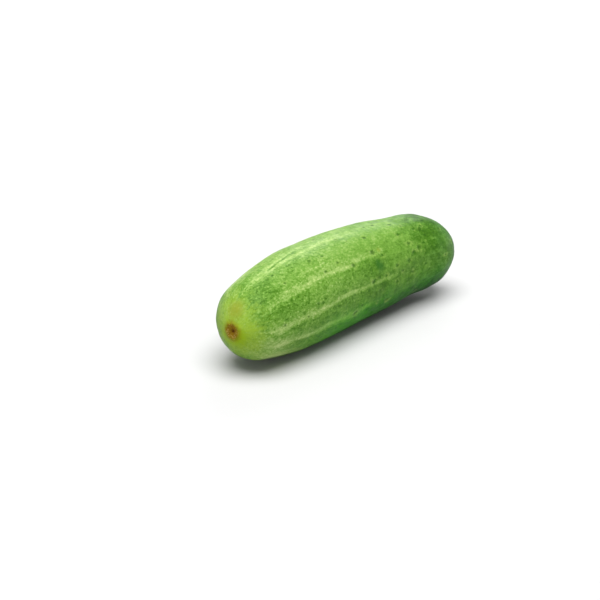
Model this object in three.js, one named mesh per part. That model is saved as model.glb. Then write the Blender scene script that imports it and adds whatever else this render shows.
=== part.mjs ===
// A short, pale-striped cucumber, as picked, lying on its side.
// It is one natural body: a girth profile carried along a gently bent axis.
// X runs from the blossom end (-X) to the stem end (+X), Z is up, and the bend lies flat in XY.
// The origin is the middle of the box on the surface that the cucumber lies on. Millimetres.

import * as THREE from 'three';

// Length and girth.
const LENGTH = 168;
const BELLY_DIAMETER = 48; // fullest girth
const BELLY_FROM_BLOSSOM = 60; // where the girth is fullest
const BLOSSOM_TAPER = 9.4; // radius lost from the belly to the blossom end, before its cap rounds off
const STEM_TAPER = 5.3; // the same, towards the stem end
const WAIST_DEPTH = 0.9; // slight waist behind the stem shoulder
const WAIST_FROM_STEM = 36;
const WAIST_REACH = 12.6;

// Rounded ends: how far each cap reaches along X, and how full it is (2 is an ellipse, more is blunter).
const BLOSSOM_CAP_LENGTH = 14.5;
const BLOSSOM_CAP_FULLNESS = 2.05;
const STEM_CAP_LENGTH = 29;
const STEM_CAP_FULLNESS = 2.13;

// Bend of the axis in the XY plane.
const BEND_SAG = 7.8;
const BEND_SKEW = -0.6;

// Cross-section: three soft lobes, one on top, and a shallow groove under each pale stripe.
const LOBE_COUNT = 3;
const LOBE_HEIGHT = 0.43;
const LOBE_TOP_ANGLE = 90; // degrees round X, from +Y towards +Z
const GROOVE_ANGLES = [20, 57, 95, 139, 174, 198, 235, 270, 306, 342];
const GROOVE_DEPTH = 0.25;
const GROOVE_HALF_ANGLE = 6;
const GROOVE_FADE = 22; // distance over which the grooves fade out at each end

// Blossom scar: a shallow dish with a low corky rim.
const BLOSSOM_DISH_DEPTH = 0.9;
const BLOSSOM_DISH_RADIUS = 2.2;
const BLOSSOM_RIM_HEIGHT = 0.35;
const BLOSSOM_RIM_RADIUS = 3.6;
const BLOSSOM_RIM_WIDTH = 1.1;

// Stem scar: a dimple with the dry stump of the stem in it.
const STEM_DIMPLE_DEPTH = 1.9;
const STEM_DIMPLE_REACH = 3.25; // the dimple is almost gone at twice this distance from the tip
const STUMP_HEIGHT = 1.6;
const STUMP_RADIUS = 3.1;
const STUMP_EDGE = 0.5; // how far the stump's side leans outwards

// The belly is a little flattened where the cucumber lies.
const REST_FLAT_DEPTH = 0.6;

// Mesh density.
const SEGMENTS = 60;
const BODY_RINGS = 20;
const CAP_RINGS = 7;
const SCAR_RINGS = 6;

const FULL_TURN = 360; // degrees

const SKIN = new THREE.MeshStandardMaterial({ color: 0x7fa845, roughness: 0.42, metalness: 0 });

// A smooth bump of height 1 at 0, almost gone at twice its reach.
function bell(distance, reach) {
  return Math.exp(-((distance / reach) ** 2));
}

// The bulk radius at a distance from the blossom end, before the caps close it.
function bulkRadius(fromBlossom) {
  const taper = fromBlossom < BELLY_FROM_BLOSSOM ? BLOSSOM_TAPER : STEM_TAPER;
  const reach = fromBlossom < BELLY_FROM_BLOSSOM ? BELLY_FROM_BLOSSOM : LENGTH - BELLY_FROM_BLOSSOM;
  const away = (fromBlossom - BELLY_FROM_BLOSSOM) / reach;
  const waist = WAIST_DEPTH * bell(LENGTH - fromBlossom - WAIST_FROM_STEM, WAIST_REACH);
  return BELLY_DIAMETER / 2 - taper * away ** 2 - waist;
}

// Sideways place of the axis at a distance from the blossom end.
function bendAt(fromBlossom) {
  const share = fromBlossom / LENGTH;
  return BEND_SAG * (4 * share * (1 - share) - 0.5) + BEND_SKEW * Math.sin(2 * Math.PI * share);
}

// One point of a cap's outline, for a turn from 0 at the tip to a quarter circle at its root.
// It gives the distance from the tip and the share of the bulk radius.
function capPoint(turn, length, fullness) {
  const distance = length * (1 - Math.cos(turn) ** (2 / fullness));
  return { distance, share: Math.sin(turn) ** (2 / fullness) };
}

// The turns of a cap's rings: close together over the scar, then even up to the root.
function capTurns(scarRadius, tipRadius, fullness) {
  const turnAt = (radius) => Math.asin(Math.min(1, radius / tipRadius) ** (fullness / 2));
  const turns = [];
  for (let i = 1; i <= SCAR_RINGS; i += 1) {
    turns.push(turnAt((scarRadius * i) / SCAR_RINGS));
  }
  const scarTurn = turnAt(scarRadius);
  for (let i = 1; i <= CAP_RINGS; i += 1) {
    turns.push(scarTurn + ((Math.PI / 2 - scarTurn) * i) / CAP_RINGS);
  }
  return turns;
}

// The rings from the blossom end to the stem end: a distance along X and a share of the bulk radius.
function ringStations() {
  const blossomScar = BLOSSOM_RIM_RADIUS + 2 * BLOSSOM_RIM_WIDTH;
  const blossom = capTurns(blossomScar, bulkRadius(0), BLOSSOM_CAP_FULLNESS).map((turn) =>
    capPoint(turn, BLOSSOM_CAP_LENGTH, BLOSSOM_CAP_FULLNESS),
  );
  const stem = capTurns(2 * STEM_DIMPLE_REACH, bulkRadius(LENGTH), STEM_CAP_FULLNESS)
    .map((turn) => capPoint(turn, STEM_CAP_LENGTH, STEM_CAP_FULLNESS))
    .map(({ distance, share }) => ({ distance: LENGTH - distance, share }))
    .reverse();
  const body = [];
  const span = LENGTH - BLOSSOM_CAP_LENGTH - STEM_CAP_LENGTH;
  for (let i = 1; i < BODY_RINGS; i += 1) {
    body.push({ distance: BLOSSOM_CAP_LENGTH + (span * i) / BODY_RINGS, share: 1 });
  }
  return [...blossom, ...body, ...stem];
}

// Grooves and lobes fade to nothing at both ends.
function endFade(fromBlossom) {
  const nearest = Math.min(fromBlossom, LENGTH - fromBlossom);
  return THREE.MathUtils.smoothstep(nearest, 0, GROOVE_FADE);
}

// The shorter way round between two angles, in degrees.
function angleGap(one, other) {
  const gap = Math.abs(one - other) % FULL_TURN;
  return Math.min(gap, FULL_TURN - gap);
}

// How far the skin dips into the groove nearest to an angle in degrees.
function grooveAt(angle) {
  const gaps = GROOVE_ANGLES.map((groove) => angleGap(angle, groove));
  return GROOVE_DEPTH * bell(Math.min(...gaps), GROOVE_HALF_ANGLE);
}

// How far the blossom end's skin stands out along the axis, by its distance from the tip.
function blossomRelief(fromTip) {
  const dish = BLOSSOM_DISH_DEPTH * bell(fromTip, BLOSSOM_DISH_RADIUS);
  const rim = BLOSSOM_RIM_HEIGHT * bell(fromTip - BLOSSOM_RIM_RADIUS, BLOSSOM_RIM_WIDTH);
  return rim - dish;
}

// The same at the stem end.
function stemRelief(fromTip) {
  const dimple = STEM_DIMPLE_DEPTH * bell(fromTip, STEM_DIMPLE_REACH);
  const outside = THREE.MathUtils.smoothstep(fromTip, STUMP_RADIUS - STUMP_EDGE, STUMP_RADIUS + STUMP_EDGE);
  return STUMP_HEIGHT * (1 - outside) - dimple;
}

// The skin's point on one ring, at an angle in degrees round the axis.
function skinPoint({ distance, share }, angle) {
  const fade = endFade(distance);
  const lobe = LOBE_HEIGHT * Math.cos(THREE.MathUtils.degToRad(LOBE_COUNT * (angle - LOBE_TOP_ANGLE)));
  const radius = share * (bulkRadius(distance) + fade * (lobe - grooveAt(angle)));
  const turn = THREE.MathUtils.degToRad(angle);
  const fromBlossomTip = Math.hypot(radius, distance);
  const fromStemTip = Math.hypot(radius, LENGTH - distance);
  return new THREE.Vector3(
    distance - LENGTH / 2 - blossomRelief(fromBlossomTip) + stemRelief(fromStemTip),
    bendAt(distance) + radius * Math.cos(turn),
    radius * Math.sin(turn),
  );
}

// Rings joined by quads, closed by a fan of triangles at each tip.
function skinGeometry() {
  const stations = ringStations();
  const points = [skinPoint({ distance: 0, share: 0 }, 0)];
  for (const station of stations) {
    for (let i = 0; i < SEGMENTS; i += 1) {
      points.push(skinPoint(station, (FULL_TURN * i) / SEGMENTS));
    }
  }
  points.push(skinPoint({ distance: LENGTH, share: 0 }, 0));

  const last = points.length - 1;
  const index = [];
  for (let i = 0; i < SEGMENTS; i += 1) {
    const next = (i + 1) % SEGMENTS;
    index.push(0, 1 + next, 1 + i);
    for (let ring = 0; ring < stations.length - 1; ring += 1) {
      const near = 1 + ring * SEGMENTS;
      const far = near + SEGMENTS;
      index.push(near + i, near + next, far + next);
      index.push(near + i, far + next, far + i);
    }
    index.push(last, last - SEGMENTS + i, last - SEGMENTS + next);
  }

  const geometry = new THREE.BufferGeometry();
  geometry.setFromPoints(points);
  geometry.setIndex(index);
  return geometry;
}

// Flattens the belly, then sets the box's middle over the origin and the flat on Z = 0.
function layDown(geometry) {
  geometry.computeBoundingBox();
  const ground = geometry.boundingBox.min.z + REST_FLAT_DEPTH;
  const position = geometry.getAttribute('position');
  for (let i = 0; i < position.count; i += 1) {
    position.setZ(i, Math.max(position.getZ(i), ground));
  }
  geometry.computeBoundingBox();
  const middle = geometry.boundingBox.getCenter(new THREE.Vector3());
  geometry.translate(-middle.x, -middle.y, -ground);
  geometry.computeVertexNormals();
  return geometry;
}

const cucumber = new THREE.Mesh(layDown(skinGeometry()), SKIN);
cucumber.name = 'cucumber';

const part = new THREE.Group();
part.add(cucumber);

export default part;
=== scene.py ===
"""A short, pale-striped cucumber lying on a pale floor.

The skin is one dense closed mesh over the CAD part's own shape. Its grooves, warts, blossom scar
and dry stem stump are real relief, and one procedural material colours it.
Shapes are worked out in millimetres from the blossom end and placed in the row frame in metres.
Angles go round the cucumber in degrees, from +Y (0) over the top (90) to -Y (180).
"""

import math
from typing import NamedTuple

import bpy
import numpy as np
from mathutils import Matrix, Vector, noise


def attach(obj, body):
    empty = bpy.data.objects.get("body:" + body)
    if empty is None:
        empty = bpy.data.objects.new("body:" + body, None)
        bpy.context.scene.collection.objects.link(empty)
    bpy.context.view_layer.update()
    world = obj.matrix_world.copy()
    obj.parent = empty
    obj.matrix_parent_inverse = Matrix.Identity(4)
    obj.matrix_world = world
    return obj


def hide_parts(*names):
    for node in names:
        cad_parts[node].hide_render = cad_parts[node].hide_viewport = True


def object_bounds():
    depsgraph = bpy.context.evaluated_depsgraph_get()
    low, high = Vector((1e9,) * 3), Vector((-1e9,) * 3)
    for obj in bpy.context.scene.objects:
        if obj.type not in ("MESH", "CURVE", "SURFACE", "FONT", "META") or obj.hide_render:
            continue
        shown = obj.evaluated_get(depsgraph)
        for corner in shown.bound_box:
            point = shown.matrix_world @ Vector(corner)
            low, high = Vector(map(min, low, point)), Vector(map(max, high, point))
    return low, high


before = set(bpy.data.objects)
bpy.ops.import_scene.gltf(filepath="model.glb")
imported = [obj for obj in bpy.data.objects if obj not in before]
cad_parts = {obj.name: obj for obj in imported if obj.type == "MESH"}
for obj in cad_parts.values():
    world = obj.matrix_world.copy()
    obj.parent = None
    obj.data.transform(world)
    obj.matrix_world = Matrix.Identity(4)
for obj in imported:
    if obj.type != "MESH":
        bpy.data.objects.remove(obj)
cad_low, cad_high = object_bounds()

MM = 0.001
FULL_TURN = 360.0
SEED = 20
FAR_AWAY = 99.0  # stands for a distance too great to matter

# ---- Shape, as in the CAD part (millimetres and degrees) -----------------------------------------

LENGTH = 168.0
BELLY_RADIUS = 24.0
BELLY_FROM_BLOSSOM = 60.0
BLOSSOM_TAPER = 9.4
STEM_TAPER = 5.3
WAIST_DEPTH, WAIST_FROM_STEM, WAIST_REACH = 0.9, 36.0, 12.6
BLOSSOM_CAP_LENGTH, BLOSSOM_CAP_FULLNESS = 14.5, 2.05
STEM_CAP_LENGTH, STEM_CAP_FULLNESS = 29.0, 2.13
BEND_SAG, BEND_SKEW = 7.8, -0.6
LOBE_COUNT, LOBE_HEIGHT, LOBE_TOP_ANGLE = 3, 0.43, 90.0
GROOVE_DEPTH, GROOVE_HALF_WIDTH, GROOVE_FADE = 0.25, 2.5, 22.0
REST_FLAT_DEPTH = 0.6

BLOSSOM_DISH_DEPTH, BLOSSOM_DISH_RADIUS = 0.9, 2.2
BLOSSOM_RIM_HEIGHT, BLOSSOM_RIM_RADIUS, BLOSSOM_RIM_WIDTH = 0.35, 3.6, 1.1
STEM_DIMPLE_DEPTH, STEM_DIMPLE_REACH = 1.9, 3.25
STUMP_HEIGHT, STUMP_RADIUS, STUMP_EDGE = 1.6, 3.1, 0.5

# ---- Stripes -------------------------------------------------------------------------------------


class Stripe(NamedTuple):
    """A pale stripe, with painted light on the skin above it and painted shade on the skin below it."""

    at_blossom: float  # angle at the blossom end
    middle: float  # angle in the middle
    at_stem: float  # angle at the stem end
    half_width: float
    strength: float
    end: float  # share of the length where it fades out
    # Strength of the painted light above the stripe and the painted shade below it.
    painted_light_and_shade: float


STRIPES = (
    Stripe(20.0, 20.0, 22.0, 2.2, 0.8, 0.66, 0.5),
    Stripe(54.0, 57.0, 58.0, 2.4, 0.9, 0.62, 0.6),
    Stripe(90.5, 90.5, 92.0, 1.1, 0.76, 0.36, 0.0),
    Stripe(97.0, 98.5, 100.0, 2.4, 0.74, 0.54, 0.2),
    Stripe(145.0, 140.5, 139.0, 2.3, 0.74, 0.60, 0.4),
    Stripe(181.0, 173.5, 176.0, 1.5, 1.0, 0.62, 0.3),
    Stripe(207.0, 199.5, 203.0, 1.8, 1.1, 0.52, 0.3),
    Stripe(240.0, 230.0, 230.0, 4.0, 0.9, 0.26, 1.0),
    Stripe(268.0, 270.0, 272.0, 2.0, 0.8, 0.60, 0.5),
    Stripe(302.0, 306.0, 307.0, 2.6, 0.9, 0.66, 0.6),
    Stripe(340.0, 342.0, 341.0, 2.0, 0.8, 0.62, 0.5),
)
STRIPE_WANDER = 0.9  # degrees
STRIPE_WANDER_WAVES = (2.3, 5.1)  # waves over the whole length
STRIPE_WIDTH_SWING, STRIPE_WIDTH_WAVES = 0.25, 1.7
STRIPE_START = (0.0, 0.12)  # shares of the length between which the stripes come up
STRIPE_FADE_LENGTH = 0.16  # share of the length over which a stripe fades out
# Reaches in mm of the painted light above a stripe and of the painted shade below it.
PAINTED_LIGHT_ABOVE_STRIPE, PAINTED_SHADE_BELOW_STRIPE = 7.0, 5.0
UPPER_EDGE, LOWER_EDGE = 1.35, 0.8  # a stripe is softer on its upper side
NEAR_REACH = 0.2  # reach of a stripe's turn at the blossom end, as a share of the length
FAR_START, FAR_END = 0.5, 0.75  # shares between which it turns towards the stem end's angle

# A fine crease beside the top stripe: its angles, and its reach in shares of the length.
CREASE_ANGLES, CREASE_SPAN = (95.0, 93.0), (0.14, 0.33)
CREASE_HALF_WIDTH, CREASE_DEPTH = 0.4, 0.22
CREASE_SWAY, CREASE_SWAY_RATE = 0.5, 40.0  # degrees, and radians over the whole length
CREASE_TAPER = 0.25  # share of its own length over which it tapers at each end
CREASE_UNEVEN, CREASE_UNEVEN_RATE = 0.3, 110.0

# ---- The two scars -------------------------------------------------------------------------------


class RingWave(NamedTuple):
    """Ripples that lie on a ring round a scar."""

    count: int
    height: float
    phase: float
    ring: float  # radius of the ring
    width: float
    twist: float = 0.0  # radians gained for each millimetre outwards


# Outlines that aren't quite round: how many waves, their height as a share, and their phase.
BLOSSOM_OUTLINE = ((3, 0.12, 0.6), (7, 0.07, 2.0))
STUMP_OUTLINE = ((5, 0.07, 0.4 + math.pi / 2), (11, 0.03, 0.0))

BLOSSOM_PIT_DEPTH, BLOSSOM_PIT_RADIUS = 0.45, 0.7
SEPAL_MARKS = RingWave(5, 0.14, 1.1, 2.3, 0.9)
CORK_GRAIN = RingWave(17, 0.06, -math.pi / 2, 2.8, 1.3, twist=4.0)
STUMP_HOLLOW_DEPTH, STUMP_HOLLOW_RADIUS = 0.5, 1.1
STUMP_BUNDLES = RingWave(10, 0.16, 0.0, 2.0, 0.5)
STEM_PUCKERS = RingWave(10, 0.2, 0.7, 5.5, 2.2)

# ---- Small relief --------------------------------------------------------------------------------


class Unevenness(NamedTuple):
    """Smooth noise that lifts and lowers the skin."""

    height: float
    size: float
    offset: float  # makes each its own


UNDULATION = Unevenness(0.28, 26.0, 11.0)
DIMPLING = Unevenness(0.10, 5.0, 47.0)
PEBBLES = Unevenness(0.07, 1.7, 83.0)
CALM_TIPS = (3.0, 16.0)  # distances from a tip over which the unevenness comes up

# ---- Warts: pits left by the spines, each with a low collar --------------------------------------

PIT_RADIUS, PIT_DEPTH = 0.7, 0.14
PIT_COLLAR_RADIUS, PIT_COLLAR_HEIGHT = 1.7, 0.13
PIT_SQUEEZE = np.array([0.6, 1.0, 1.0])  # pits are longer along the cucumber than across it

# Pits chosen one by one: distance from the blossom end, angle, size.
CHOSEN_PITS = (
    (18, 175, 0.8),
    (42, 166, 0.9),
    (45, 167, 0.8),
    (55, 136, 1.0),
    (60, 117, 0.8),
    (72, 199, 1.4),
    (76, 143, 1.3),
    (79, 102, 0.8),
    (87, 171, 1.3),
    (94, 137, 1.5),
    (96, 115, 1.1),
    (99, 202, 1.3),
    (106, 183, 0.9),
    (108, 163, 1.1),
    (111, 98, 0.9),
    (118, 163, 1.3),
    (119, 125, 1.1),
    (121, 105, 1.1),
    (123, 141, 1.2),
    (124, 155, 1.4),
    (129, 151, 1.5),
    (133, 122, 1.0),
    (134, 146, 1.0),
    (139, 120, 0.9),
)
PIT_COUNT = 110  # the chosen and the scattered ones together
PIT_TRIES = 60  # tries for each pit before the scattering gives up
PIT_SPACING = 5.5
PIT_SPAN = (0.1, 0.95)  # shares of the length
PIT_SIZES = (0.45, 0.95)
PIT_KEPT_AT_BLOSSOM = 0.25  # share of the scattered pits kept at the blossom end; all are at the stem end

# ---- Uneven colour -------------------------------------------------------------------------------

# Smudges and blushes: distance from the blossom end, angle, radius, and strength (below 0 is dark).
PATCHES = (
    (95, 157, 4.0, -0.8),
    (93, 149, 3.0, -0.4),
    (3, 92, 6.0, 0.9),
    (99, 137, 2.2, 0.6),
    (118, 30, 5.0, -0.5),
    (125, 250, 5.0, -0.5),
)
# Broad paler and deeper areas of the skin, with a painted sheen along the top, listed in the same way.
AREAS_AND_PAINTED_SHEEN = (
    (90, 158, 13.0, -0.12),
    (110, 112, 18.0, 0.04),
    (136, 138, 14.0, -0.09),
    (150, 97, 17.0, -0.24),
    (145, 168, 12.0, 0.07),
    (42, 92, 12.0, -0.05),
    # A painted sheen: two pale bands along the top of the body.
    (92, 90, 16.0, 0.04),
    (120, 88, 12.0, 0.05),
    (9, 116, 10.0, -0.18),
    (16, 152, 10.0, -0.08),
    (30, 166, 12.0, -0.05),
    (10, 211, 13.0, 0.19),
    (24, 208, 6.0, -0.08),
    (20, 126, 9.0, -0.05),
    (3, 94, 8.0, 0.10),
    (20, 93, 8.0, -0.08),
    (22, 142, 6.0, -0.04),
    (22, 232, 13.0, 0.12),
    (60, 20, 20.0, 0.05),
    (110, 60, 20.0, -0.06),
    (90, 310, 22.0, 0.06),
)

# ---- Mesh density --------------------------------------------------------------------------------

RINGS = 340
COLUMNS = 264
TIP_ZONE = 9.0  # distance from a tip over which the rings are closer together
TIP_DENSITY = 2.6  # how much closer they are at the tip itself
CAP_STEPS, BODY_STEPS = 3000, 4000  # steps along the outline that the rings are picked from


# ---- The smooth base surface ---------------------------------------------------------------------


def bell(distance, reach):
    """A smooth bump of height 1 at 0, almost gone at twice its reach."""
    return np.exp(-((distance / reach) ** 2))


def smoothstep(value, low, high):
    t = np.clip((value - low) / (high - low), 0.0, 1.0)
    return t * t * (3.0 - 2.0 * t)


def waves(turns):
    """A sine by the number of whole turns."""
    return np.sin(2 * np.pi * turns)


def angle_gap(one, other):
    """The signed shorter way round from other to one, in degrees."""
    return (one - other + FULL_TURN / 2) % FULL_TURN - FULL_TURN / 2


def bulk_radius(distance):
    """The radius before the caps close it, by the distance from the blossom end."""
    before = distance < BELLY_FROM_BLOSSOM
    taper = np.where(before, BLOSSOM_TAPER, STEM_TAPER)
    reach = np.where(before, BELLY_FROM_BLOSSOM, LENGTH - BELLY_FROM_BLOSSOM)
    away = (distance - BELLY_FROM_BLOSSOM) / reach
    waist = WAIST_DEPTH * bell(LENGTH - distance - WAIST_FROM_STEM, WAIST_REACH)
    return BELLY_RADIUS - taper * away**2 - waist


def bend_at(distance):
    """Sideways place of the axis."""
    share = distance / LENGTH
    return BEND_SAG * (4 * share * (1 - share) - 0.5) + BEND_SKEW * waves(share)


def cap_outline(length, fullness):
    """Distance from the tip and share of the bulk radius, from the tip to the cap's root."""
    turn = np.linspace(0.0, np.pi / 2, CAP_STEPS)
    distance = length * (1 - np.clip(np.cos(turn), 0, 1) ** (2 / fullness))
    return distance, np.sin(turn) ** (2 / fullness)


def ring_stations():
    """Distances and radius shares of the rings, closer together towards the two scars."""
    blossom_distance, blossom_share = cap_outline(BLOSSOM_CAP_LENGTH, BLOSSOM_CAP_FULLNESS)
    stem_distance, stem_share = cap_outline(STEM_CAP_LENGTH, STEM_CAP_FULLNESS)
    body_distance = np.linspace(BLOSSOM_CAP_LENGTH, LENGTH - STEM_CAP_LENGTH, BODY_STEPS)[1:-1]
    distance = np.concatenate([blossom_distance, body_distance, (LENGTH - stem_distance)[::-1]])
    share = np.concatenate([blossom_share, np.ones_like(body_distance), stem_share[::-1]])
    step = np.hypot(np.diff(distance), np.diff(share * bulk_radius(distance)))
    arc = np.concatenate([[0.0], np.cumsum(step)])
    from_end = np.minimum(arc, arc[-1] - arc)
    density = 1 + (TIP_DENSITY - 1) * bell(from_end, TIP_ZONE)
    weight = np.concatenate([[0.0], np.cumsum(step * (density[1:] + density[:-1]) / 2)])
    wanted = np.linspace(0.0, weight[-1], RINGS + 2)[1:-1]
    return np.interp(wanted, weight, distance), np.interp(wanted, weight, share)


def cap_share(distance):
    """The share of the bulk radius at one distance from the blossom end."""
    inside_blossom = max(0.0, 1 - distance / BLOSSOM_CAP_LENGTH)
    inside_stem = max(0.0, 1 - (LENGTH - distance) / STEM_CAP_LENGTH)
    blossom = (1 - inside_blossom**BLOSSOM_CAP_FULLNESS) ** (1 / BLOSSOM_CAP_FULLNESS)
    stem = (1 - inside_stem**STEM_CAP_FULLNESS) ** (1 / STEM_CAP_FULLNESS)
    return blossom * stem


def stripe_angle(stripe, share):
    """Where a stripe runs, by the share of the length."""
    near = (stripe.at_blossom - stripe.middle) * bell(share, NEAR_REACH)
    far = (stripe.at_stem - stripe.middle) * smoothstep(share, FAR_START, FAR_END)
    return stripe.middle + near + far


def stripe_strength(stripe, share):
    """How strong a stripe is, by the share of the length."""
    start = stripe.end - STRIPE_FADE_LENGTH
    stop = stripe.end + STRIPE_FADE_LENGTH
    return stripe.strength * smoothstep(share, *STRIPE_START) * (1 - smoothstep(share, start, stop))


def stripe_fields(distance, angle, radius):
    """The nearest stripe's gap in mm, how pale the stripes are, and the painted light above and painted
    shade below them.
    """
    draw = np.random.default_rng(SEED)
    share = distance / LENGTH
    nearest = np.full_like(radius, FAR_AWAY)
    pale = np.zeros_like(radius)
    painted_light_and_shade = np.zeros_like(radius)
    for stripe in STRIPES:
        centre = stripe_angle(stripe, share)
        for count in STRIPE_WANDER_WAVES:
            centre = centre + STRIPE_WANDER * waves(count * share + draw.uniform())
        swing = STRIPE_WIDTH_SWING * waves(STRIPE_WIDTH_WAVES * share + draw.uniform())
        gap = np.radians(angle_gap(angle, centre)) * radius
        larger_is_higher = math.copysign(1.0, math.cos(math.radians(stripe.middle)))
        above = gap * larger_is_higher
        width = stripe.half_width * (1 + swing) * np.where(above > 0, UPPER_EDGE, LOWER_EDGE)
        here = stripe_strength(stripe, share)
        nearest = np.minimum(nearest, np.abs(gap))
        pale = np.maximum(pale, here * bell(gap, width))
        # Painted light above each stripe and painted shade below it.
        beside = np.where(above > 0, bell(above, PAINTED_LIGHT_ABOVE_STRIPE), -bell(above, PAINTED_SHADE_BELOW_STRIPE))
        painted_light_and_shade += here * stripe.painted_light_and_shade * beside
    return nearest, pale, painted_light_and_shade


def crease_field(distance, angle, radius):
    """How deep in the crease each point is, from 0 to 1."""
    share = distance / LENGTH
    start, stop = CREASE_SPAN
    progress = (share - start) / (stop - start)
    first, last = CREASE_ANGLES
    centre = first + (last - first) * progress + CREASE_SWAY * np.sin(CREASE_SWAY_RATE * share)
    gap = np.radians(angle_gap(angle, centre)) * radius
    ends = smoothstep(progress, 0.0, CREASE_TAPER) * (1 - smoothstep(progress, 1 - CREASE_TAPER, 1.0))
    uneven = 1 - CREASE_UNEVEN + CREASE_UNEVEN * np.sin(CREASE_UNEVEN_RATE * share)
    return ends * uneven * bell(gap, CREASE_HALF_WIDTH)


def outline(turn, ripples):
    """The radius of a scar's outline, as a share, at a turn in radians."""
    return 1 + sum(height * np.sin(count * turn + phase) for count, height, phase in ripples)


def ring_wave(wave, turn, from_tip):
    """The height of a ring of ripples at a turn in radians and a distance from the tip."""
    ripple = np.cos(wave.count * turn + wave.phase + wave.twist * from_tip)
    return wave.height * ripple * bell(from_tip - wave.ring, wave.width)


def blossom_relief(from_tip, angle):
    """The corky scar: a dish with a small pit in it, a low ragged rim and five faint sepal marks."""
    turn = np.radians(angle)
    seen = from_tip / outline(turn, BLOSSOM_OUTLINE)
    dish = BLOSSOM_DISH_DEPTH * bell(seen, BLOSSOM_DISH_RADIUS)
    pit = BLOSSOM_PIT_DEPTH * bell(seen, BLOSSOM_PIT_RADIUS)
    rim = BLOSSOM_RIM_HEIGHT * bell(seen - BLOSSOM_RIM_RADIUS, BLOSSOM_RIM_WIDTH)
    return rim - dish - pit + ring_wave(SEPAL_MARKS, turn, seen) + ring_wave(CORK_GRAIN, turn, seen)


def stem_relief(from_tip, angle):
    """The dry stump in its puckered dimple."""
    turn = np.radians(angle)
    dimple = STEM_DIMPLE_DEPTH * bell(from_tip, STEM_DIMPLE_REACH)
    seen = from_tip / outline(turn, STUMP_OUTLINE)
    inside = 1 - smoothstep(seen, STUMP_RADIUS - STUMP_EDGE, STUMP_RADIUS + STUMP_EDGE)
    hollow = STUMP_HOLLOW_DEPTH * bell(from_tip, STUMP_HOLLOW_RADIUS)
    stump = STUMP_HEIGHT - hollow + ring_wave(STUMP_BUNDLES, turn, from_tip)
    return inside * stump - dimple + (1 - inside) * ring_wave(STEM_PUCKERS, turn, from_tip)


class Surface(NamedTuple):
    """Points of the smooth base surface in mm: X from the blossom tip, and the axis at Z = 0."""

    points: np.ndarray
    radius: np.ndarray
    from_blossom: np.ndarray  # distance from the blossom tip
    from_stem: np.ndarray  # distance from the stem tip


def base_surface(distance, angle, share):
    """The base surface at distances from the blossom end, angles and shares of the bulk radius."""
    radius = share * bulk_radius(distance)
    gap, _, _ = stripe_fields(distance, angle, radius)
    fade = smoothstep(np.minimum(distance, LENGTH - distance), 0.0, GROOVE_FADE)
    lobe = LOBE_HEIGHT * np.cos(np.radians(LOBE_COUNT * (angle - LOBE_TOP_ANGLE)))
    groove = GROOVE_DEPTH * bell(gap, GROOVE_HALF_WIDTH)
    radius = radius + share * fade * (lobe - groove)
    from_blossom = np.hypot(radius, distance)
    from_stem = np.hypot(radius, LENGTH - distance)
    turn = np.radians(angle)
    x = distance - blossom_relief(from_blossom, angle) + stem_relief(from_stem, angle)
    points = np.stack([x, bend_at(distance) + radius * np.cos(turn), radius * np.sin(turn)], -1)
    return Surface(points, radius, from_blossom, from_stem)


def surface_point(distance, angle):
    """One point of the base surface."""
    place = np.array([[distance], [angle], [cap_share(distance)]], float)
    return base_surface(*place).points[0]


def base_grid():
    """Distances, angles and radius shares of every ring (first index) and column (second)."""
    distance, share = ring_stations()
    angle = np.arange(COLUMNS) * FULL_TURN / COLUMNS
    distance = np.repeat(distance[:, None], COLUMNS, 1)
    share = np.repeat(share[:, None], COLUMNS, 1)
    return distance, np.repeat(angle[None, :], RINGS, 0), share


# ---- Relief and colour on the surface ------------------------------------------------------------


def grid_normals(points):
    """Outward normals of a grid of rings (first index) and columns (second)."""
    along = np.gradient(points, axis=0)
    around = np.roll(points, -1, axis=1) - np.roll(points, 1, axis=1)
    normal = np.cross(around, along)
    return normal / np.linalg.norm(normal, axis=-1, keepdims=True)


def noise_height(points, unevenness):
    """How far smooth noise lifts each point, in mm."""
    flat = points.reshape(-1, 3) / unevenness.size + unevenness.offset
    values = [noise.noise(Vector(point)) for point in flat]
    return unevenness.height * np.array(values).reshape(points.shape[:-1])


def pit_places():
    """Distance, angle and size of every pit: the chosen ones, then scattered ones clear of them."""
    draw = np.random.default_rng(SEED + 1)
    places = list(CHOSEN_PITS)
    for _ in range(PIT_TRIES * PIT_COUNT):
        if len(places) == PIT_COUNT:
            break
        distance = LENGTH * draw.uniform(*PIT_SPAN)
        angle = draw.uniform(0.0, FULL_TURN)
        size = draw.uniform(*PIT_SIZES)
        kept = PIT_KEPT_AT_BLOSSOM + (1 - PIT_KEPT_AT_BLOSSOM) * distance / LENGTH
        keep = draw.uniform() < kept
        gaps = [
            math.hypot(distance - other, math.radians(angle_gap(angle, other_angle)) * BELLY_RADIUS)
            for other, other_angle, _ in places
        ]
        if keep and min(gaps) > PIT_SPACING:
            places.append((distance, angle, size))
    return places


def pit_field(points):
    """Distance to the nearest pit, in units of that pit's size, and the relief that the pits make."""
    nearest = np.full(points.shape[:-1], FAR_AWAY)
    relief = np.zeros(points.shape[:-1])
    for distance, angle, size in pit_places():
        centre = surface_point(distance, angle)
        away = np.linalg.norm((points - centre) * PIT_SQUEEZE, axis=-1) / size
        nearest = np.minimum(nearest, away)
        collar = PIT_COLLAR_HEIGHT * bell(away, PIT_COLLAR_RADIUS)
        relief += size * (collar - (PIT_DEPTH + PIT_COLLAR_HEIGHT) * bell(away, PIT_RADIUS))
    return nearest, relief


def patch_field(points, patches):
    """The summed strength of some patches at each point."""
    tone = np.zeros(points.shape[:-1])
    for distance, angle, radius, strength in patches:
        away = np.linalg.norm(points - surface_point(distance, angle), axis=-1)
        tone += strength * bell(away, radius)
    return tone


# ---- The skin's mesh -----------------------------------------------------------------------------


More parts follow.
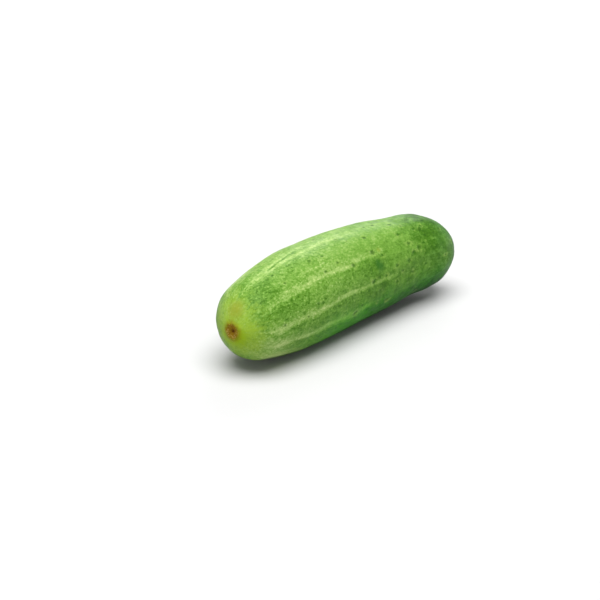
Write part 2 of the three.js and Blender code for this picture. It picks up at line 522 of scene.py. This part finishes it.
def row_offset(points):
    """What moves the base surface, in metres, so that its box sits on the CAD part's box."""
    flat = points.reshape(-1, 3) * MM
    low, high = flat.min(0), flat.max(0)
    offset = (np.array(cad_low) + np.array(cad_high) - low - high) / 2
    offset[2] = cad_low[2] - low[2] - REST_FLAT_DEPTH * MM
    return offset


def to_row_frame(points, offset):
    """Points in mm moved to the row frame in metres, with the belly flattened where it rests."""
    placed = points * MM + offset
    placed[..., 2] = np.maximum(placed[..., 2], cad_low[2])
    return placed


def grid_faces():
    """Quads between the rings and a fan of triangles at each tip, wound to face out."""
    faces = []
    first_tip = RINGS * COLUMNS
    last_tip = first_tip + 1
    last = first_tip - COLUMNS
    for column in range(COLUMNS):
        after = (column + 1) % COLUMNS
        faces.append((first_tip, after, column))
        for near in range(0, last, COLUMNS):
            far = near + COLUMNS
            faces.append((near + column, near + after, far + after, far + column))
        faces.append((last_tip, last + column, last + after))
    return faces


def unwrapped(column, wraps):
    """A column's number, counted on past the last one where a face closes the ring."""
    return column + COLUMNS if wraps and column == 0 else column


def write_uv(mesh):
    """A length by round-the-axis map, so that the fine pattern fills the baked picture."""
    layer = mesh.uv_layers.new(name="OFBake")
    tips = RINGS * COLUMNS
    uv = np.zeros((len(mesh.loops), 2), np.float32)
    for polygon in mesh.polygons:
        columns = [vertex % COLUMNS for vertex in polygon.vertices if vertex < tips]
        wraps = max(columns) - min(columns) > 1
        middle = sum(unwrapped(column, wraps) for column in columns) / len(columns)
        for loop, vertex in zip(polygon.loop_indices, polygon.vertices):
            if vertex >= tips:
                ring, column = (-1 if vertex == tips else RINGS), middle
            else:
                ring, column = divmod(vertex, COLUMNS)
                column = unwrapped(column, wraps)
            uv[loop] = ((ring + 1) / (RINGS + 1), column / COLUMNS)
    layer.data.foreach_set("uv", uv.ravel())


def write_value(mesh, name, values, at_tips):
    """Stores one number for each point of the grid and for the two tips."""
    layer = mesh.attributes.new(name, "FLOAT", "POINT")
    everything = np.concatenate([values.ravel(), at_tips])
    layer.data.foreach_set("value", everything.astype(np.float32))


def write_meridian(mesh, distance, angle):
    """Coordinates that follow the stripes: length, then round a cylinder as wide as the belly."""
    turn = np.radians(angle)
    around = [distance, BELLY_RADIUS * np.cos(turn), BELLY_RADIUS * np.sin(turn)]
    tips = [[0.0, 0.0, 0.0], [LENGTH, 0.0, 0.0]]
    values = np.concatenate([np.stack(around, -1).reshape(-1, 3), tips])
    layer = mesh.attributes.new("meridian", "FLOAT_VECTOR", "POINT")
    layer.data.foreach_set("vector", values.astype(np.float32).ravel())


def skin_mesh(points, offset):
    """A closed mesh of the grid's points and the two tips."""
    tips = np.array([surface_point(0.0, 0.0), surface_point(LENGTH, 0.0)])
    everything = np.concatenate([points.reshape(-1, 3), tips])
    mesh = bpy.data.meshes.new("skin")
    mesh.from_pydata(to_row_frame(everything, offset).tolist(), [], grid_faces())
    mesh.update()
    mesh.shade_smooth()
    write_uv(mesh)
    return mesh


def build_skin():
    """The whole cucumber as one closed mesh, with what its material needs stored at its points."""
    distance, angle, share = base_grid()
    base = base_surface(distance, angle, share)
    offset = row_offset(base.points)
    _, stripe, painted_light_and_shade = stripe_fields(distance, angle, base.radius)
    crease = crease_field(distance, angle, base.radius)
    pit_away, pit_relief = pit_field(base.points)

    uneven = sum(noise_height(base.points, kind) for kind in (UNDULATION, DIMPLING, PEBBLES))
    calm = smoothstep(np.minimum(base.from_blossom, base.from_stem), *CALM_TIPS)
    relief = calm * uneven + pit_relief - CREASE_DEPTH * crease
    mesh = skin_mesh(base.points + grid_normals(base.points) * relief[..., None], offset)

    write_value(mesh, "along", distance / LENGTH, (0.0, 1.0))
    write_value(mesh, "downward", -np.sin(np.radians(angle)), (0.0, 0.0))
    write_value(mesh, "from_blossom", base.from_blossom, (0.0, LENGTH))
    write_value(mesh, "from_stem", base.from_stem, (LENGTH, 0.0))
    write_value(mesh, "stripe", stripe, (0.0, 0.0))
    # Painted light and shade beside the stripes.
    write_value(mesh, "painted_light_and_shade", painted_light_and_shade, (0.0, 0.0))
    write_value(mesh, "crease", crease, (0.0, 0.0))
    write_value(mesh, "pit_away", pit_away, (FAR_AWAY, FAR_AWAY))
    write_value(mesh, "patch", patch_field(base.points, PATCHES), (0.0, 0.0))
    # Broad areas of tone, and a painted sheen along the top.
    write_value(mesh, "area_and_painted_sheen", patch_field(base.points, AREAS_AND_PAINTED_SHEEN), (0.0, 0.0))
    write_meridian(mesh, distance, angle)

    piece = bpy.data.objects.new("cucumber_skin", mesh)
    bpy.context.scene.collection.objects.link(piece)
    return piece, Vector(offset)


# ---- Shader tools --------------------------------------------------------------------------------

NOISE_MIDDLE = 0.5  # the level that a noise pattern swings about


class Pattern(NamedTuple):
    """Procedural noise or specks on the skin."""

    size: float  # mm
    detail: float = 2.0
    rough: float = 0.5
    stretch: float = 1.0  # below 1 draws the pattern out along the length
    shift: tuple = (0.0, 0.0, 0.0)  # makes each its own
    follows_stripes: bool = False


class Fade(NamedTuple):
    """A smooth change from floor, where a value is at start, to top, where it is at stop."""

    start: float
    stop: float
    floor: float = 0.0
    top: float = 1.0


def colour(value):
    """A linear colour with alpha, from three numbers; a socket stays as it is."""
    return value if isinstance(value, bpy.types.NodeSocket) else (*value, 1.0)


class Paint:
    """Short calls for the shader nodes that a material is painted with."""

    def __init__(self, name):
        self.material = bpy.data.materials.new(name)
        self.material.use_nodes = True
        self.tree = self.material.node_tree
        self.shader = self.tree.nodes["Principled BSDF"]

    def node(self, kind, **settings):
        made = self.tree.nodes.new(kind)
        for key, value in settings.items():
            setattr(made, key, value)
        return made

    def feed(self, socket, value):
        if isinstance(value, bpy.types.NodeSocket):
            self.tree.links.new(value, socket)
        else:
            socket.default_value = value

    def stored(self, name):
        return self.node("ShaderNodeAttribute", attribute_name=name).outputs["Fac"]

    def coordinates(self, pattern):
        """Places in millimetres for a pattern: the object's own, or those that follow the stripes."""
        if pattern.follows_stripes:
            where = self.node("ShaderNodeAttribute", attribute_name="meridian").outputs["Vector"]
            unit = 1.0
        else:
            where = self.node("ShaderNodeTexCoord").outputs["Object"]
            unit = MM
        mapping = self.node("ShaderNodeMapping")
        self.feed(mapping.inputs["Vector"], where)
        mapping.inputs["Scale"].default_value = (pattern.stretch / unit, 1 / unit, 1 / unit)
        mapping.inputs["Location"].default_value = pattern.shift
        return mapping.outputs["Vector"]

    def noise(self, pattern):
        made = self.node("ShaderNodeTexNoise")
        self.feed(made.inputs["Vector"], self.coordinates(pattern))
        made.inputs["Scale"].default_value = 1 / pattern.size
        made.inputs["Detail"].default_value = pattern.detail
        made.inputs["Roughness"].default_value = pattern.rough
        return made.outputs["Fac"]

    def specks(self, pattern):
        """Distance from the middle of the nearest speck, in units of the speck spacing."""
        made = self.node("ShaderNodeTexVoronoi")
        self.feed(made.inputs["Vector"], self.coordinates(pattern))
        made.inputs["Scale"].default_value = 1 / pattern.size
        return made.outputs["Distance"]

    def maths(self, operation, first, second, clamp=False):
        made = self.node("ShaderNodeMath", operation=operation, use_clamp=clamp)
        self.feed(made.inputs[0], first)
        self.feed(made.inputs[1], second)
        return made.outputs[0]

    def add(self, first, second):
        return self.maths("ADD", first, second)

    def take(self, first, second):
        return self.maths("SUBTRACT", first, second)

    def times(self, first, second):
        return self.maths("MULTIPLY", first, second)

    def most(self, first, second):
        return self.maths("MAXIMUM", first, second)

    def fade(self, value, change):
        """The level that a Fade gives for a value."""
        made = self.node("ShaderNodeMapRange", interpolation_type="SMOOTHSTEP")
        self.feed(made.inputs["Value"], value)
        ends = sorted([(change.start, change.floor), (change.stop, change.top)])
        for (place, level), side in zip(ends, ("Min", "Max")):
            made.inputs["From " + side].default_value = place
            made.inputs["To " + side].default_value = level
        return made.outputs["Result"]

    def blend(self, share, first, second, kind="MIX"):
        """Blends a second colour over the first, as far as share says."""
        made = self.node("ShaderNodeMix", data_type="RGBA", blend_type=kind)
        sockets = {socket.identifier: socket for socket in (*made.inputs, *made.outputs)}
        self.feed(sockets["Factor_Float"], share)
        self.feed(sockets["A_Color"], colour(first))
        self.feed(sockets["B_Color"], colour(second))
        return sockets["Result_Color"]

    def tint(self, share, first, second):
        """Multiplies a colour by a tint, as far as share says."""
        return self.blend(share, first, second, kind="MULTIPLY")

    def swing(self, pattern, amount, value=0.0):
        """Moves a value up and down by a noise pattern."""
        return self.add(value, self.times(self.take(pattern, NOISE_MIDDLE), amount))

    def ramp(self, value, stops):
        made = self.node("ShaderNodeValToRGB")
        self.feed(made.inputs["Fac"], value)
        elements = made.color_ramp.elements
        for element, (place, tone) in zip(elements, (stops[0], stops[-1])):
            element.position = place
            element.color = colour(tone)
        for place, tone in stops[1:-1]:
            elements.new(place).color = colour(tone)
        return made.outputs["Color"]


# ---- Skin tones ----------------------------------------------------------------------------------
# A tone runs from 0, the darkest flecks, to 1, the palest. "downward" runs from -1 on top of the
# cucumber to 1 underneath, and "along" from 0 at the blossom end to 1 at the stem end.

# Linear reflectances by tone.
SKIN_TONES = (
    (0.00, (0.013, 0.052, 0.002)),
    (0.25, (0.048, 0.140, 0.007)),
    (0.50, (0.125, 0.262, 0.034)),
    (0.75, (0.250, 0.376, 0.096)),
    (1.00, (0.390, 0.500, 0.175)),
)

WIDE = Pattern(22.0, stretch=0.6)
CLOUD = Pattern(5.0, detail=3.0, stretch=0.6, shift=(7.0, 3.0, 5.0))
BLOTCH = Pattern(3.2, stretch=0.8, shift=(1.0, 8.0, 6.0))
STREAK = Pattern(1.5, detail=3.0, rough=0.6, stretch=0.22, follows_stripes=True)
FINE = Pattern(1.3, detail=3.0, rough=0.8, stretch=0.75)
PALE_SPECKS = Pattern(1.2, stretch=0.6, shift=(2.0, 9.0, 4.0))
DARK_SPECKS = Pattern(1.5, stretch=0.8, shift=(5.0, 1.0, 8.0))

TONE_ALONG, TONE_ALONG_SWING = Fade(0.1, 0.95, floor=0.42, top=0.31), 0.3
PALER_ON_TOP = Fade(-0.1, -1.0, top=0.13)
CLOUD_SWING = 0.30
BLOTCH_SWING = Fade(0.4, 0.75, floor=0.1, top=0.45)  # stronger towards the stem end

STREAK_SWING, FINE_SWING = 0.35, 1.0
PALE_SPECK_TONE = Fade(0.38, 0.08, top=0.20)
DARK_SPECK_TONE = Fade(0.30, 0.10, top=0.16)
GRAIN_ALONG = Fade(0.3, 0.65, floor=1.0, top=0.55)  # the grain is weaker towards the stem end

# Painted shade: the tone is lowered underneath, more towards the stem end.
UNDERSIDE_PAINTED_SHADE = Fade(0.2, 0.7, top=0.26)
UNDERSIDE_PAINTED_SHADE_ALONG = Fade(0.35, 0.75)
STRIPE_FINE_SWING, STRIPE_STREAK_SWING = 0.4, 0.45
STRIPE_TONE = Fade(0.10, 0.95, top=0.25)
# How strongly the painted light and shade beside the stripes lift and lower the tone.
PAINTED_LIGHT_AND_SHADE_TONE = 0.17
# How much painted shade darkens the crease; the crease itself is real relief.
CREASE_PAINTED_SHADE = 0.45


def broad_tone(paint):
    """Broad clouds of tone, paler on top and near the blossom end."""
    along = paint.stored("along")
    shifted = paint.swing(paint.noise(WIDE), TONE_ALONG_SWING, along)
    tone = paint.add(paint.fade(shifted, TONE_ALONG), paint.fade(paint.stored("downward"), PALER_ON_TOP))
    tone = paint.swing(paint.noise(CLOUD), CLOUD_SWING, tone)
    return paint.swing(paint.noise(BLOTCH), paint.fade(along, BLOTCH_SWING), tone)


def grain_tone(paint, streak, fine):
    """Fine streaks and flecks, with pale and dark specks."""
    grain = paint.swing(fine, FINE_SWING, paint.swing(streak, STREAK_SWING))
    grain = paint.add(grain, paint.fade(paint.specks(PALE_SPECKS), PALE_SPECK_TONE))
    grain = paint.take(grain, paint.fade(paint.specks(DARK_SPECKS), DARK_SPECK_TONE))
    return paint.times(grain, paint.fade(paint.stored("along"), GRAIN_ALONG))


def skin_tone(paint):
    """How pale the skin is: clouds, grain, painted shade below, ragged stripes, areas with a painted
    sheen, painted light and shade beside the stripes, and painted shade in the crease.
    """
    streak = paint.noise(STREAK)
    fine = paint.noise(FINE)
    tone = paint.add(broad_tone(paint), grain_tone(paint, streak, fine))
    # Painted shade underneath, stronger towards the stem end.
    below = paint.fade(paint.stored("downward"), UNDERSIDE_PAINTED_SHADE)
    tone = paint.take(tone, paint.times(below, paint.fade(paint.stored("along"), UNDERSIDE_PAINTED_SHADE_ALONG)))
    ragged = paint.swing(streak, STRIPE_STREAK_SWING, paint.stored("stripe"))
    ragged = paint.swing(fine, STRIPE_FINE_SWING, ragged)
    tone = paint.add(tone, paint.fade(ragged, STRIPE_TONE))
    # Broad areas of tone, and a painted sheen along the top.
    tone = paint.add(tone, paint.stored("area_and_painted_sheen"))
    # Painted light above the stripes and painted shade below them.
    tone = paint.add(tone, paint.times(paint.stored("painted_light_and_shade"), PAINTED_LIGHT_AND_SHADE_TONE))
    # Painted shade in the crease.
    return paint.take(tone, paint.times(paint.stored("crease"), CREASE_PAINTED_SHADE))


STEM_TINT = (0.75, 0.87, 1.50)
# Painted shade: a tint that makes the underside a darker, deeper green.
UNDERSIDE_PAINTED_SHADE_TINT = (0.38, 0.94, 0.12)
SOFT = Pattern(14.0, shift=(9.0, 4.0, 1.0))
STEM_TINT_ALONG, STEM_TINT_SWING = Fade(0.74, 0.98), 0.25
UNDERSIDE_PAINTED_SHADE_TINT_BELOW, UNDERSIDE_PAINTED_SHADE_TINT_SWING = Fade(-0.05, 0.6), 0.5
UNDERSIDE_PAINTED_SHADE_TINT_ALONG = Fade(0.12, 0.4)


def skin_colour(paint):
    """The skin's tones in green, tinted at the stem end, and tinted darker along the underside as painted
    shade.
    """
    body = paint.ramp(skin_tone(paint), SKIN_TONES)
    along = paint.stored("along")
    soft = paint.noise(SOFT)
    stem = paint.fade(paint.swing(soft, STEM_TINT_SWING, along), STEM_TINT_ALONG)
    body = paint.tint(stem, body, STEM_TINT)
    # Painted shade: the underside is tinted darker green.
    downward = paint.swing(soft, UNDERSIDE_PAINTED_SHADE_TINT_SWING, paint.stored("downward"))
    underside_painted_shade = paint.times(paint.fade(downward, UNDERSIDE_PAINTED_SHADE_TINT_BELOW), paint.fade(along, UNDERSIDE_PAINTED_SHADE_TINT_ALONG))
    return paint.tint(underside_painted_shade, body, UNDERSIDE_PAINTED_SHADE_TINT)


# ---- Warts, smudges and blushes ------------------------------------------------------------------

WART_DARK = (0.018, 0.082, 0.001)
WART_PALE = (0.210, 0.340, 0.065)
SMUDGE = (0.016, 0.092, 0.007)
BLUSH = (0.215, 0.255, 0.022)

WART_EDGE = Pattern(0.9, shift=(6.0, 2.0, 8.0))
WART_EDGE_SWING = 1.2
WART_BLOTCH = Pattern(2.6, shift=(3.0, 7.0, 2.0))
COLLAR_REACH = Fade(2.6, 1.0)
COLLAR_BLOTCH = Fade(0.48, 0.62, top=0.55)  # the collars are pale only here and there
PIT_REACH = Fade(1.15, 0.3, top=0.76)
PATCH_SWING = 0.5
SMUDGE_REACH = Fade(-0.22, -1.0, top=0.8)
BLUSH_REACH = Fade(0.22, 1.0, top=0.85)


def add_marks(paint, body):
    """Warts with a dark pit and a pale, uneven collar, and a few soft smudges and blushes."""
    ragged = paint.noise(WART_EDGE)
    away = paint.swing(ragged, WART_EDGE_SWING, paint.stored("pit_away"))
    patch = paint.swing(ragged, PATCH_SWING, paint.stored("patch"))
    blotch = paint.fade(paint.noise(WART_BLOTCH), COLLAR_BLOTCH)
    body = paint.blend(paint.times(paint.fade(away, COLLAR_REACH), blotch), body, WART_PALE)
    body = paint.blend(paint.fade(away, PIT_REACH), body, WART_DARK)
    body = paint.blend(paint.fade(patch, SMUDGE_REACH), body, SMUDGE)
    return paint.blend(paint.fade(patch, BLUSH_REACH), body, BLUSH)


# ---- Blossom end (reaches are distances from the tip in mm) --------------------------------------

CAP_YELLOW = (0.265, 0.392, 0.028)
CAP_OLIVE = (0.215, 0.335, 0.001)
CORK_RIM = (0.175, 0.155, 0.004)
CORK_BROWN = (0.195, 0.102, 0.004)
CORK_DARK = (0.075, 0.024, 0.001)
CORK_FLECK = (0.400, 0.320, 0.090)

CAP_WIDE = Pattern(9.0, shift=(4.0, 1.0, 2.0))
CAP_STREAK = Pattern(2.2, detail=3.0, stretch=0.2, follows_stripes=True)
CAP_GRAIN = Pattern(1.1, detail=3.0, rough=0.7, shift=(7.0, 5.0, 3.0))
CAP_WIDE_SWING, CAP_STREAK_SWING, CAP_GRAIN_SWING = 18.0, 14.0, 16.0
CAP_REACH = Fade(22.0, 2.0, top=0.8)
OLIVE_WIDE_SWING, OLIVE_STREAK_SWING = 6.0, 5.0
OLIVE_NARROWING = Fade(-0.6, 0.4, floor=3.0, top=-1.0)  # narrower on top, and a little wider below
OLIVE_REACH = Fade(10.0, 4.0, top=0.9)


def add_blossom_cap(paint, body):
    """The yellow cap and its olive ring, which is wider below."""
    tip = paint.stored("from_blossom")
    wide = paint.noise(CAP_WIDE)
    streak = paint.noise(CAP_STREAK)
    uneven = paint.swing(streak, CAP_STREAK_SWING, paint.swing(wide, CAP_WIDE_SWING, tip))
    uneven = paint.swing(paint.noise(CAP_GRAIN), CAP_GRAIN_SWING, uneven)
    body = paint.blend(paint.fade(uneven, CAP_REACH), body, CAP_YELLOW)
    near = paint.swing(streak, OLIVE_STREAK_SWING, paint.swing(wide, OLIVE_WIDE_SWING, tip))
    near = paint.add(near, paint.fade(paint.stored("downward"), OLIVE_NARROWING))
    return paint.blend(paint.fade(near, OLIVE_REACH), body, CAP_OLIVE)


SCAR_EDGE = Pattern(1.0, detail=3.0, rough=0.65, shift=(1.0, 6.0, 3.0))
SCAR_EDGE_SWING = 2.6
SCAR_FLECKS = Pattern(0.55, shift=(2.0, 2.0, 7.0))
CORK_RIM_REACH = Fade(6.2, 3.6, top=0.8)
CORK_REACH = Fade(4.2, 2.6, top=0.9)
CORK_DARK_REACH = Fade(1.4, 0.4, top=0.9)
FLECK_EDGE = Fade(0.52, 0.64)
FLECK_OUTER, FLECK_INNER = Fade(4.2, 3.2), Fade(1.4, 2.4)
FLECK_BELOW = Fade(-0.3, 0.5, floor=0.40)  # the flecks are palest on the lower side


def add_blossom_scar(paint, body):
    """The brown corky scar, with a soft rim, pale flecks and a dark middle."""
    tip = paint.stored("from_blossom")
    ragged = paint.swing(paint.noise(SCAR_EDGE), SCAR_EDGE_SWING, tip)
    body = paint.blend(paint.fade(ragged, CORK_RIM_REACH), body, CORK_RIM)
    body = paint.blend(paint.fade(ragged, CORK_REACH), body, CORK_BROWN)
    ring = paint.times(paint.fade(ragged, FLECK_OUTER), paint.fade(tip, FLECK_INNER))
    flecks = paint.times(paint.fade(paint.noise(SCAR_FLECKS), FLECK_EDGE), ring)
    flecks = paint.times(flecks, paint.fade(paint.stored("downward"), FLECK_BELOW))
    body = paint.blend(flecks, body, CORK_FLECK)
    return paint.blend(paint.fade(ragged, CORK_DARK_REACH), body, CORK_DARK)


# ---- Stem end (reaches are distances from the tip in mm) -----------------------------------------

STUMP_PALE = (0.300, 0.270, 0.150)
STUMP_DRY = (0.150, 0.115, 0.050)

STUMP_FIBRE = Pattern(0.9, detail=4.0, rough=0.65, shift=(8.0, 2.0, 6.0))
STUMP_FIBRE_SWING = 2.4
CORKY_RING_REACH = Fade(6.2, 4.0, top=0.7)
STUMP_REACH = Fade(3.9, 3.3)
FIBRE_EDGE = Fade(0.45, 0.7, top=0.8)
FIBRE_REACH = Fade(3.3, 2.8)
STUMP_DARK_REACH = Fade(1.4, 0.5, top=0.6)


def add_stem_end(paint, body):
    """The dry stump and the rough corky ring round it."""
    tip = paint.stored("from_stem")
    fibre = paint.noise(STUMP_FIBRE)
    ragged = paint.swing(fibre, STUMP_FIBRE_SWING, tip)
    body = paint.blend(paint.fade(ragged, CORKY_RING_REACH), body, STUMP_PALE)
    body = paint.blend(paint.fade(ragged, STUMP_REACH), body, STUMP_DRY)
    fibres = paint.times(paint.fade(fibre, FIBRE_EDGE), paint.fade(tip, FIBRE_REACH))
    body = paint.blend(fibres, body, STUMP_PALE)
    return paint.blend(paint.fade(tip, STUMP_DARK_REACH), body, CORK_DARK)


# ---- Finish --------------------------------------------------------------------------------------

WAX = Pattern(7.0, detail=4.0, shift=(3.0, 3.0, 9.0))
WAX_ROUGHNESS = Fade(0.3, 0.7, floor=0.34, top=0.46)
SHEEN_GRAIN = Pattern(0.8)
SHEEN_GRAIN_ROUGHNESS = 0.1
BLOSSOM_SCAR_DULL = Fade(5.0, 3.6, top=0.4)
STEM_SCAR_DULL = Fade(5.5, 3.6, top=0.4)

PEEL = Pattern(1.1, detail=3.0, rough=0.6, stretch=0.8)
CORK = Pattern(0.5, detail=4.0, rough=0.7, shift=(5.0, 5.0, 5.0))
PEEL_BUMP, CORK_BUMP = 0.14, 0.3  # mm
BLOSSOM_CORK_REACH = Fade(4.8, 3.6)
STEM_CORK_REACH = Fade(5.5, 3.6)

FLESH_GLOW = 0.12  # how much light passes under the skin
FLESH_GLOW_DEPTH = 2.5
FLESH_GLOW_SHARES = (0.6, 1.0, 0.3)  # how far red, green and blue light reach of that depth
SKIN_IOR = 1.42
SKIN_SPECULAR = 0.10


def skin_roughness(paint):
    """Waxy but not even, and dull on the two scars."""
    grain = paint.times(paint.noise(SHEEN_GRAIN), SHEEN_GRAIN_ROUGHNESS)
    rough = paint.add(paint.fade(paint.noise(WAX), WAX_ROUGHNESS), grain)
    blossom = paint.fade(paint.stored("from_blossom"), BLOSSOM_SCAR_DULL)
    stem = paint.fade(paint.stored("from_stem"), STEM_SCAR_DULL)
    return paint.maths("ADD", rough, paint.most(blossom, stem), clamp=True)


def skin_bump(paint):
    """Orange-peel grain of the skin, and the coarser grain of the cork."""
    blossom = paint.fade(paint.stored("from_blossom"), BLOSSOM_CORK_REACH)
    stem = paint.fade(paint.stored("from_stem"), STEM_CORK_REACH)
    cork = paint.times(paint.noise(CORK), paint.most(blossom, stem))
    peel = paint.times(paint.noise(PEEL), PEEL_BUMP)
    bump = paint.node("ShaderNodeBump")
    paint.feed(bump.inputs["Height"], paint.add(peel, paint.times(cork, CORK_BUMP)))
    bump.inputs["Distance"].default_value = MM
    bump.inputs["Strength"].default_value = 1.0
    return bump.outputs["Normal"]


def skin_material():
    paint = Paint("cucumber_skin")
    body = add_blossom_cap(paint, skin_colour(paint))
    body = add_blossom_scar(paint, add_marks(paint, body))
    body = add_stem_end(paint, body)
    paint.feed(paint.shader.inputs["Base Color"], body)
    paint.feed(paint.shader.inputs["Roughness"], skin_roughness(paint))
    paint.feed(paint.shader.inputs["Normal"], skin_bump(paint))
    paint.shader.inputs["Subsurface Weight"].default_value = FLESH_GLOW
    paint.shader.inputs["Subsurface Radius"].default_value = FLESH_GLOW_SHARES
    paint.shader.inputs["Subsurface Scale"].default_value = FLESH_GLOW_DEPTH * MM
    paint.shader.inputs["IOR"].default_value = SKIN_IOR
    paint.shader.inputs["Specular IOR Level"].default_value = SKIN_SPECULAR
    return paint.material


# ---- Stage (metres, degrees) ---------------------------------------------------------------------

FLOOR_SIZE = 12.0
FLOOR_REFLECTANCE, FLOOR_ROUGHNESS = 0.5, 0.9
WALL_STRENGTH, OVERHEAD_STRENGTH = 1.0, 0.36
WALL_TOP, WALL_FADE = 0.12, 0.25  # as heights on a sphere of radius 1
# The lights stand in these directions from the cucumber's middle.
KEY_STRENGTH, KEY_SPREAD, KEY_FROM = 5.05, 60.0, (-0.15, -0.15, 1.0)
BACK_WATTS, BACK_SIZE, BACK_FROM = 9.0, 0.9, (0.75, 0.44, 0.5)
BACK_DISTANCE = 1.8
CAMERA_AZIMUTH, CAMERA_ELEVATION = -52.4, 19.0
CAMERA_DISTANCE = 0.815
CAMERA_LENS = 100.0
CAMERA_NEAR, CAMERA_FAR = 0.01, 20.0
AIM_LEFT, AIM_BELOW = 0.0190, 0.00865  # the camera looks this far beside and below the middle


def make_floor():
    half = FLOOR_SIZE / 2
    corners = [(-half, -half, 0), (half, -half, 0), (half, half, 0), (-half, half, 0)]
    mesh = bpy.data.meshes.new("floor")
    mesh.from_pydata(corners, [], [(0, 1, 2, 3)])
    floor = bpy.data.objects.new("floor", mesh)
    floor.location.z = cad_low[2]
    bpy.context.scene.collection.objects.link(floor)
    paint = Paint("floor")
    paint.shader.inputs["Base Color"].default_value = colour([FLOOR_REFLECTANCE] * 3)
    paint.shader.inputs["Roughness"].default_value = FLOOR_ROUGHNESS
    paint.shader.inputs["Specular IOR Level"].default_value = 0.0
    mesh.materials.append(paint.material)


def make_world():
    """Soft light from all round: a white wall up to just above the horizon, dimmer overhead."""
    world = bpy.data.worlds.new("studio")
    world.use_nodes = True
    tree = world.node_tree
    where = tree.nodes.new("ShaderNodeTexCoord")
    split = tree.nodes.new("ShaderNodeSeparateXYZ")
    height = tree.nodes.new("ShaderNodeMapRange")
    tree.links.new(where.outputs["Generated"], split.inputs["Vector"])
    tree.links.new(split.outputs["Z"], height.inputs["Value"])
    height.inputs["From Min"].default_value = WALL_TOP
    height.inputs["From Max"].default_value = WALL_TOP + WALL_FADE
    height.inputs["To Min"].default_value = WALL_STRENGTH
    height.inputs["To Max"].default_value = OVERHEAD_STRENGTH
    sky = tree.nodes["Background"]
    sky.inputs["Color"].default_value = (1.0, 1.0, 1.0, 1.0)
    tree.links.new(height.outputs["Result"], sky.inputs["Strength"])
    bpy.context.scene.world = world


def aim(thing, target):
    way = Vector(target) - thing.location
    thing.rotation_euler = way.to_track_quat("-Z", "Y").to_euler()


def add_light(name, kind, place, target):
    light = bpy.data.lights.new(name, kind)
    lamp = bpy.data.objects.new(name, light)
    lamp.location = place
    bpy.context.scene.collection.objects.link(lamp)
    aim(lamp, target)
    return light


def make_lights(centre):
    """A wide soft key from above, and a soft panel behind that gives the ridge its sheen."""
    key = add_light("key", "SUN", centre + Vector(KEY_FROM), centre)
    key.energy = KEY_STRENGTH
    key.angle = math.radians(KEY_SPREAD)
    back_place = centre + Vector(BACK_FROM).normalized() * BACK_DISTANCE
    back = add_light("back", "AREA", back_place, centre)
    back.shape = "DISK"
    back.size = BACK_SIZE
    back.energy = BACK_WATTS


def make_camera(centre):
    azimuth = math.radians(CAMERA_AZIMUTH)
    elevation = math.radians(CAMERA_ELEVATION)
    level = math.cos(elevation)
    out = Vector((math.sin(azimuth) * level, -math.cos(azimuth) * level, math.sin(elevation)))
    right = Vector((math.cos(azimuth), math.sin(azimuth), 0.0))
    up = out.cross(right)
    lens = bpy.data.cameras.new("camera")
    lens.lens = CAMERA_LENS
    lens.clip_start = CAMERA_NEAR
    lens.clip_end = CAMERA_FAR
    camera = bpy.data.objects.new("camera", lens)
    camera.location = centre + out * CAMERA_DISTANCE
    bpy.context.scene.collection.objects.link(camera)
    aim(camera, centre - right * AIM_LEFT - up * AIM_BELOW)
    bpy.context.scene.camera = camera


bpy.context.scene.view_settings.view_transform = "Standard"
skin, offset = build_skin()
axis_middle = offset + Vector((LENGTH / 2 * MM, 0.0, 0.0))
skin.data.materials.append(skin_material())
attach(skin, "root")
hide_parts("cucumber")

make_floor()
make_world()
make_lights(axis_middle)
make_camera(axis_middle)
